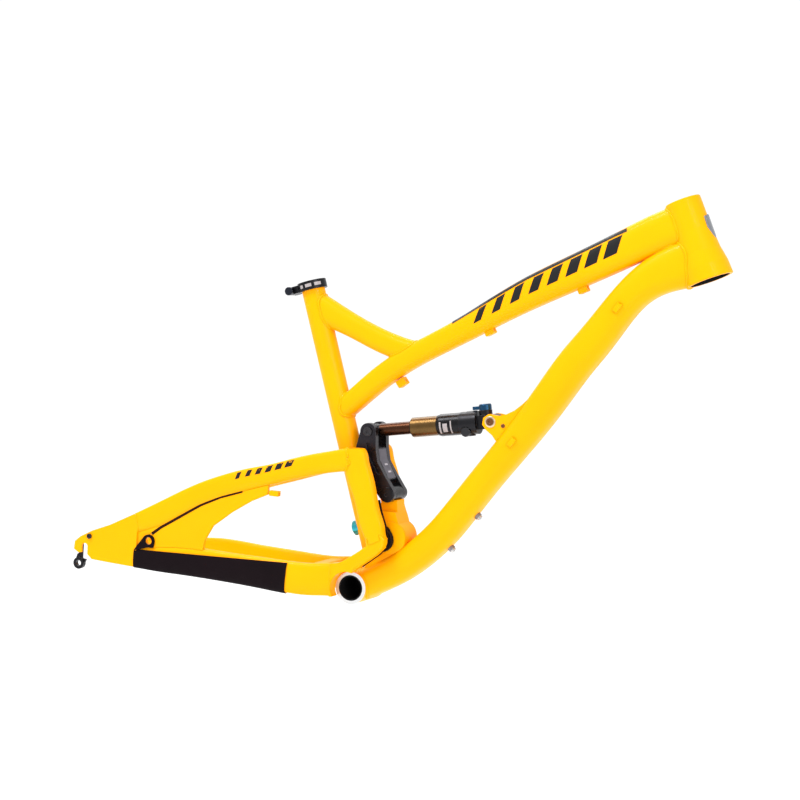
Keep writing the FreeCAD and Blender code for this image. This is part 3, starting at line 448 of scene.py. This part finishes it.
def weld(name, node, neighbours, body, radius=0.0022, side=0, pitch=0.0030, reach=0.00035):
    """A weld bead with its ripples along the seam between CAD nodes."""
    touching = seam(node, neighbours, reach, side)
    if len(touching) < 12:
        print("no seam for", name, len(touching))
        return None
    path = evenly(rim(touching), pitch / 4)
    dice = random.Random(name)
    swell = [1 + dice.uniform(-0.07, 0.07) for _ in range(len(path) // 4 + 2)]

    def radius_at(i):
        wave = abs(math.sin(math.pi * i / 4 + 0.3))
        return radius * swell[i // 4] * (0.84 + 0.16 * wave)

    corners, faces = sweep(path, radius_at, 10)
    return new_piece(name, corners, faces, PAINT, body)


FRONT = "front_triangle"
REAR = "swingarm"
weld("weld_top_tube_head", "top_tube", ["head_tube"], FRONT, 0.0021)
weld("weld_down_tube_head", "down_tube", ["head_tube"], FRONT, 0.0023)
weld("weld_top_tube_seat", "top_tube", ["seat_tube"], FRONT, 0.0022)
weld("weld_top_down", "top_tube", ["down_tube"], FRONT, 0.0024)
weld("weld_strut_seat", "seat_tube_strut", ["seat_tube"], FRONT, 0.0021)
weld("weld_strut_top", "seat_tube_strut", ["top_tube"], FRONT, 0.0021)
weld("weld_down_shell", "down_tube", ["bottom_bracket_shell"], FRONT, 0.0024)
for side, label in ((-1, "right"), (1, "left")):
    near = 0.0016
    weld("weld_seatstay_upright_" + label, "seatstay_" + label, ["uprights"], REAR, near)
    weld("weld_chainstay_yoke_" + label, "chainstay_" + label, ["pivot_yokes"], REAR, near)
    weld("weld_bridge_" + label, "seatstay_bridge", ["seatstay_" + label], REAR, near, side)
    weld("weld_chainstay_bridge_" + label, "chainstay_bridge", ["chainstay_" + label], REAR, near, side)
    for stay in ("seatstay_", "chainstay_"):
        weld("weld_" + stay + "dropout_" + label, stay + label, ["dropout_" + label], REAR, near)


# ---- printed graphics --------------------------------------------------------------------

def decal(name, shapes, names, side, body, material, lift=0.00022, cells=(0.004, 0.004)):
    """Flat shapes in the X-Z plane, laid onto the side of some CAD nodes."""
    tree = surface_of(*names)
    grid = bmesh.new()
    for shape in shapes:
        face = grid.faces.new([grid.verts.new((x, 0.0, z)) for x, z in shape])
        face.normal_update()
    xs = [v.co.x for v in grid.verts]
    zs = [v.co.z for v in grid.verts]
    cuts = [(Vector((1, 0, 0)), min(xs), max(xs)), (Vector((0, 0, 1)), min(zs), max(zs))]
    for cell, (normal, low, high) in zip(cells, cuts):
        for i in range(1, int((high - low) / cell) + 1):
            everything = grid.verts[:] + grid.edges[:] + grid.faces[:]
            bmesh.ops.bisect_plane(grid, geom=everything, plane_co=normal * (low + i * cell),
                                   plane_no=normal)
    missed = []
    for vertex in grid.verts:
        start = Vector((vertex.co.x, side * 0.2, vertex.co.z))
        hit, normal, _, _ = tree.ray_cast(start, Vector((0, -side, 0)))
        if hit is None:
            missed.append(vertex)
        else:
            vertex.co = hit + normal * lift
    bmesh.ops.delete(grid, geom=missed, context="VERTS")
    bmesh.ops.recalc_face_normals(grid, faces=grid.faces[:])
    mesh = bpy.data.meshes.new(name)
    grid.to_mesh(mesh)
    grid.free()
    mesh.materials.append(material)
    for polygon in mesh.polygons:
        polygon.use_smooth = True
    obj = bpy.data.objects.new(name, mesh)
    bpy.context.scene.collection.objects.link(obj)
    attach(obj, body)
    return obj


# the top tube's middle line, as (x, z, height) in millimetres
TOP_LINE = [(60, 342, 34), (126, 380, 35), (185, 416, 40), (243, 450, 46), (329, 494, 50),
            (377, 519, 52), (468, 560, 54)]
SEATSTAY_LINE = [(-210, 130.5, 35), (-171, 144, 34), (-137, 154, 32), (-98, 167, 32), (-60, 178, 32)]


def on_line(line, x, share):
    """The point at x along a tube's middle line, share of the half height above it."""
    for (x0, z0, h0), (x1, z1, h1) in zip(line, line[1:]):
        if x <= x1 or (x1, z1, h1) == line[-1]:
            break
    t = (x - x0) / (x1 - x0)
    length = math.hypot(x1 - x0, z1 - z0)
    out = (h0 + (h1 - h0) * t) / 2 * share
    return ((x - (z1 - z0) / length * out) * MM, (z0 + (z1 - z0) * t + (x1 - x0) / length * out) * MM)


def bar(line, x0, x1, low, high, lean):
    """A slanted bar between two heights; lean moves its top forward, in millimetres."""
    return [on_line(line, x0, low), on_line(line, x1, low), on_line(line, x1 + lean, high),
            on_line(line, x0 + lean, high)]


BLACK_INK = ink("black_graphic", (0.004, 0.004, 0.0045), 0.45)
WHITE_INK = ink("white_graphic", (0.40, 0.39, 0.43))
GREY_PRINT_AND_REFLECTION = ink("silver_print_and_painted_reflection", (0.30, 0.27, 0.27))


def speed_bars(line, start, end, count, low, high, lean):
    """Even bars that grow wider towards the front: plain trim in place of lettering."""
    shapes = []
    pitch = (end - start) / count
    for i in range(count):
        width = pitch * (0.42 + 0.30 * i / (count - 1))
        x = start + pitch * i
        shapes.append(bar(line, x, x + width, low, high, lean))
    return shapes


for side, label in ((-1, "right"), (1, "left")):
    shapes = speed_bars(TOP_LINE, 160, 376, 8, -0.12, 0.68, 15)
    decal("top_tube_trim_" + label, shapes, ["top_tube"], side, FRONT, BLACK_INK)
    line = []
    for k in range(16):
        line.append(bar(TOP_LINE, 134 + 16 * k, 150 + 16 * k, 0.74, 0.94, 0))
    decal("top_tube_line_" + label, line, ["top_tube"], side, FRONT, BLACK_INK,
          0.00045, (0.003, 0.0009))
    stay = "seatstay_" + label
    shapes = speed_bars(SEATSTAY_LINE, -186, -92, 6, 0.30, 0.80, 6)
    decal("seatstay_trim_" + label, shapes, [stay], side, REAR, BLACK_INK)


# ---- small fittings ----------------------------------------------------------------------

def leg_outer(x):
    """How far the legs' outer faces stand from the middle plane at x, in millimetres."""
    return 54.0 + 20.0 * max((-60.0 - x) / 373.0, 0.0)


def bore_thread():
    """The thread in each end of the bottom bracket shell, coloured near black as painted shade."""
    # near-black colour: painted shade inside the shell
    dark = rubber("thread_in_painted_shade", (0.0015, 0.0015, 0.0015), 900.0)
    pitch, turns, root, crest, back, start = 1.06, 34, 16.9, 16.35, 16.98, 36.3
    profile = []
    for i in range(turns):
        profile += [(i * pitch, root), (i * pitch + pitch * 0.5, crest)]
    profile += [(turns * pitch, root), (turns * pitch, back), (0.0, back)]
    for side, label in ((-1, "right"), (1, "left")):
        lathe("bottom_bracket_thread_" + label, profile, (0.0, side * start, 0.0), (0.0, -side, 0.0),
              dark, FRONT, 64)


def slot_shade_strip():
    """A dark strip along the slot between the right seatstay and its web: painted shadow of the slot, not
    a real part.
    """
    line = [(-321, 48), (-307, 59), (-274, 79.5), (-242, 99.5), (-210, 114.5), (-176, 125.8)]
    path, across, depth = [], [], []
    for i, (x, z) in enumerate(line):
        x0, z0 = line[max(i - 1, 0)]
        x1, z1 = line[min(i + 1, len(line) - 1)]
        normal = Vector((z0 - z1, 0.0, x1 - x0)).normalized()
        path.append(Vector((x, -leg_outer(x) + 2.9, z)) * MM)
        across.append(normal * (2.3 - 0.22 * i) * MM)
        depth.append(Vector((0.0, 0.75, 0.0)) * MM)
    # dark colour: painted shadow in the slot
    strip("slot_shade_strip", path, across, depth, rubber("painted_slot_shade", (0.016, 0.006, 0.002)), REAR)


def leg_gap_shade():
    """A dark strip on the inner front edge of each leg, from the rocker down to the shell: painted shade
    of the gap between leg and forging, not a real part.
    """
    line = [(38, 134), (43, 117), (51, 96), (55.5, 80), (54, 66), (44, 55), (29, 43), (18, 34.5)]
    # dark colour: painted shade of the gap between leg and forging
    dark = rubber("painted_leg_gap_shade", (0.010, 0.005, 0.003))
    for side, label in ((-1, "right"), (1, "left")):
        path, across = [], []
        for i, (x, z) in enumerate(line):
            x0, z0 = line[max(i - 1, 0)]
            x1, z1 = line[min(i + 1, len(line) - 1)]
            out = Vector((z0 - z1, 0.0, x1 - x0)).normalized()
            path.append((Vector((x, side * 37.5, z)) - out * 0.5) * MM)
            across.append(out * 1.8 * MM)
        strip("leg_gap_shade_" + label, path, across, [Vector((0.0, 1.5, 0.0)) * MM] * len(path), dark,
              REAR)


def hull_reach(x, z, radius, angle):
    """How far the hull of a circle and the point (x, z) reaches from the centre at an angle."""
    far = math.hypot(x, z)
    off = math.remainder(angle - math.atan2(z, x), 2 * math.pi)
    if abs(off) >= math.acos(min(1.0, radius / far)):
        return radius
    lean = math.acos(min(1.0, radius / far))
    return radius / math.cos(lean - abs(off))


def guard_loop():
    """The rubber collar round the keyhole, which runs down to the chainstay guard."""
    x0, z0 = KEYHOLE
    inner, outer = 5.7, 9.6
    feet = [(-349.5, 20.0), (-317.0, 27.0)]
    turns = 72
    corners, faces = [], []
    for i in range(turns):
        a = 2 * math.pi * i / turns
        reach = outer
        for x, z in feet:
            reach = max(reach, hull_reach(x - x0, z - z0, outer, a))
        for radius in (inner, reach):
            x, z = x0 + math.cos(a) * radius, z0 + math.sin(a) * radius
            for lift in (-1.1, 2.3):
                corners.append(Vector((x, -leg_outer(x) + lift, z)) * MM)
    for i in range(turns):
        a, b = 4 * i, 4 * ((i + 1) % turns)
        for p, q in ((0, 2), (2, 3), (3, 1), (1, 0)):
            faces.append([a + p, a + q, b + q, b + p])
    new_piece("guard_loop", corners, faces, SPECIAL["chainstay_protector"], REAR)


def rocker_face():
    """The grey forged face between the rocker's plates, with two short pale marks."""
    grey = alloy("rocker_grey", (0.105, 0.098, 0.118), (0.42, 0.40, 0.44), roughness=0.42)
    wall = [Vector((41, 0, 162)), Vector((33, 0, 175)), Vector((25, 0, 188)), Vector((21, 0, 206))]
    out = [Vector((0.85, 0, 0.52)), Vector((0.85, 0, 0.52)), Vector((0.93, 0, 0.36)),
           Vector((0.98, 0, 0.22))]
    path = [(w + o.normalized() * 0.5) * MM for w, o in zip(wall, out)]
    path[0] += (path[1] - path[0]) * 0.08
    path[3] += (path[2] - path[3]) * 0.08
    depth = [o.normalized() * 0.45 * MM for o in out]
    strip("rocker_face", path, [Vector((0, 0.0125, 0))] * 4, depth, grey, "rocker")
    for i, station in enumerate((0.75, 1.55)):
        k = int(station)
        place = path[k].lerp(path[k + 1], station - k) + depth[k] * 1.4
        along = (path[k + 1] - path[k]).normalized() * 0.0013
        strip("rocker_mark_%d" % i, [place - along, place + along], [Vector((0, 0.0045, 0))] * 2,
              [depth[k] * 0.5] * 2, WHITE_INK, "rocker")


def band_mark(name, base, axis, radius, along, turn, material, body):
    """A thin patch round a cylinder, used for print and for painted reflection: along and turn are
    (start, end) in mm and degrees.
    """
    axis = Vector(axis).normalized()
    side = Vector((0, -1, 0))
    up = axis.cross(side)
    corners, faces = [], []
    steps = 24
    for i in range(steps + 1):
        angle = math.radians(turn[0] + (turn[1] - turn[0]) * i / steps)
        out = side * math.cos(angle) + up * math.sin(angle)
        for reach in (radius + 0.12, radius + 0.28):
            for place in along:
                corners.append((Vector(base) + axis * place + out * reach) * MM)
    for i in range(steps):
        a, b = 4 * i, 4 * i + 4
        for p, q in ((0, 1), (1, 3), (3, 2), (2, 0)):
            faces.append([a + p, a + q, b + q, b + p])
    last = 4 * steps
    faces += [[0, 2, 3, 1], [last, last + 1, last + 3, last + 2]]
    return new_piece(name, corners, faces, material, body)


def sleeve_print_and_clamp_reflection():
    """Pale generic print on the shock's sleeve, and pale patches on the top of the seat clamp's collar
    that are painted reflection.
    """
    bars = [((110.0, 112.6), (-18, 46)), ((115.5, 122.5), (-9, 37)), ((127.0, 129.0), (-21, 49))]
    for k, (along, turn) in enumerate(bars):
        band_mark("shock_mark_%d" % k, SHOCK_REAR_EYE, SHOCK_AXIS, 16.1, along, turn, GREY_PRINT_AND_REFLECTION,
                  "shock_can")
    # pale patches on the collar's top: painted reflection
    for k, turn in enumerate(((-62, -34), (-22, 4), (16, 30))):
        band_mark("clamp_painted_reflection_%d" % k, SEAT_TOP, SEAT_DOWN, 21.5, (2.6, 7.4), turn, GREY_PRINT_AND_REFLECTION, FRONT)


def mount_hardware():
    """The bright washer on the shock mount's ear and the small screw beside it."""
    bright = turned("bright_washer", (0.66, 0.52, 0.36), 0.3, (0.0, 1.0, 0.0))
    ring = [(0.05, 5.6), (0.05, 8.2), (0.7, 8.2), (1.0, 7.8), (1.0, 5.6)]
    screw = [(0.0, 0.0), (0.0, 3.1), (0.8, 3.0), (1.4, 2.3), (1.5, 1.4), (0.7, 1.3), (0.7, 0.0)]
    for side, label in ((-1, "right"), (1, "left")):
        x, z = SHOCK_FRONT_EYE
        lathe("ear_washer_" + label, ring, (x, side * 18.0, z), (0, side, 0), bright, FRONT)
        lathe("ear_screw_" + label, screw, (x + 20.1, side * 18.0, z - 4.1), (0, side, 0),
              SPECIAL["shock_front_bolt"], FRONT, 28)


bore_thread()
slot_shade_strip()
leg_gap_shade()
guard_loop()
rocker_face()
sleeve_print_and_clamp_reflection()
mount_hardware()


# ---- camera, light and floor -------------------------------------------------------------

def make_camera():
    azimuth, elevation, roll = (math.radians(a) for a in (23.729, 4.566, 3.288))
    target = Vector((0.04578, 0.0, 0.27880))
    distance = 3.256277
    back = Vector((math.sin(azimuth) * math.cos(elevation), -math.cos(azimuth) * math.cos(elevation),
                   math.sin(elevation)))
    level = Vector((math.cos(azimuth), math.sin(azimuth), 0.0))
    upright = back.cross(level)
    right = level * math.cos(roll) + upright * math.sin(roll)
    up = upright * math.cos(roll) - level * math.sin(roll)
    camera = bpy.data.objects.new("camera", bpy.data.cameras.new("camera"))
    camera.data.lens = 100.25
    camera.data.sensor_width = 36.0
    camera.data.clip_end = 60.0
    turn = Matrix((right, up, back)).transposed().to_4x4()
    camera.matrix_world = Matrix.Translation(target + back * distance) @ turn
    bpy.context.scene.collection.objects.link(camera)
    bpy.context.scene.camera = camera


def area_light(name, place, aim, size, power):
    light = bpy.data.lights.new(name, "AREA")
    light.shape = "RECTANGLE"
    light.size, light.size_y = size
    light.energy = power
    obj = bpy.data.objects.new(name, light)
    obj.location = place
    obj.rotation_euler = (Vector(aim) - Vector(place)).to_track_quat("-Z", "Y").to_euler()
    bpy.context.scene.collection.objects.link(obj)


def make_floor():
    """A pale floor well below the hanging frame."""
    half, height = 14.0, -0.55
    corners = [(-half, -half, height), (half, -half, height), (half, half, height), (-half, half, height)]
    mesh = bpy.data.meshes.new("floor")
    mesh.from_pydata(corners, [], [[0, 1, 2, 3]])
    n = Nodes("pale_floor")
    n.set(Base_Color=n.mix(n.noise(3.0, 2.0), (0.975, 0.975, 0.975), (0.99, 0.99, 0.99)), Roughness=0.9)
    mesh.materials.append(n.material)
    floor = bpy.data.objects.new("floor", mesh)
    bpy.context.scene.collection.objects.link(floor)


def make_world():
    world = bpy.data.worlds.new("studio")
    world.use_nodes = True
    background = world.node_tree.nodes["Background"]
    background.inputs["Color"].default_value = (1.0, 1.0, 1.0, 1.0)
    background.inputs["Strength"].default_value = 1.05
    bpy.context.scene.world = world
    bpy.context.scene.view_settings.view_transform = "Standard"


make_camera()
make_world()
make_floor()
area_light("key", (-1.2, -1.4, 3.0), (0.0, 0.0, 0.25), (1.5, 1.2), 95.0)
area_light("front", (2.2, -1.5, 1.2), (0.3, 0.0, 0.35), (1.4, 1.2), 30.0)
area_light("back", (-1.4, 1.8, 2.4), (0.0, 0.0, 0.25), (2.0, 1.2), 38.0)
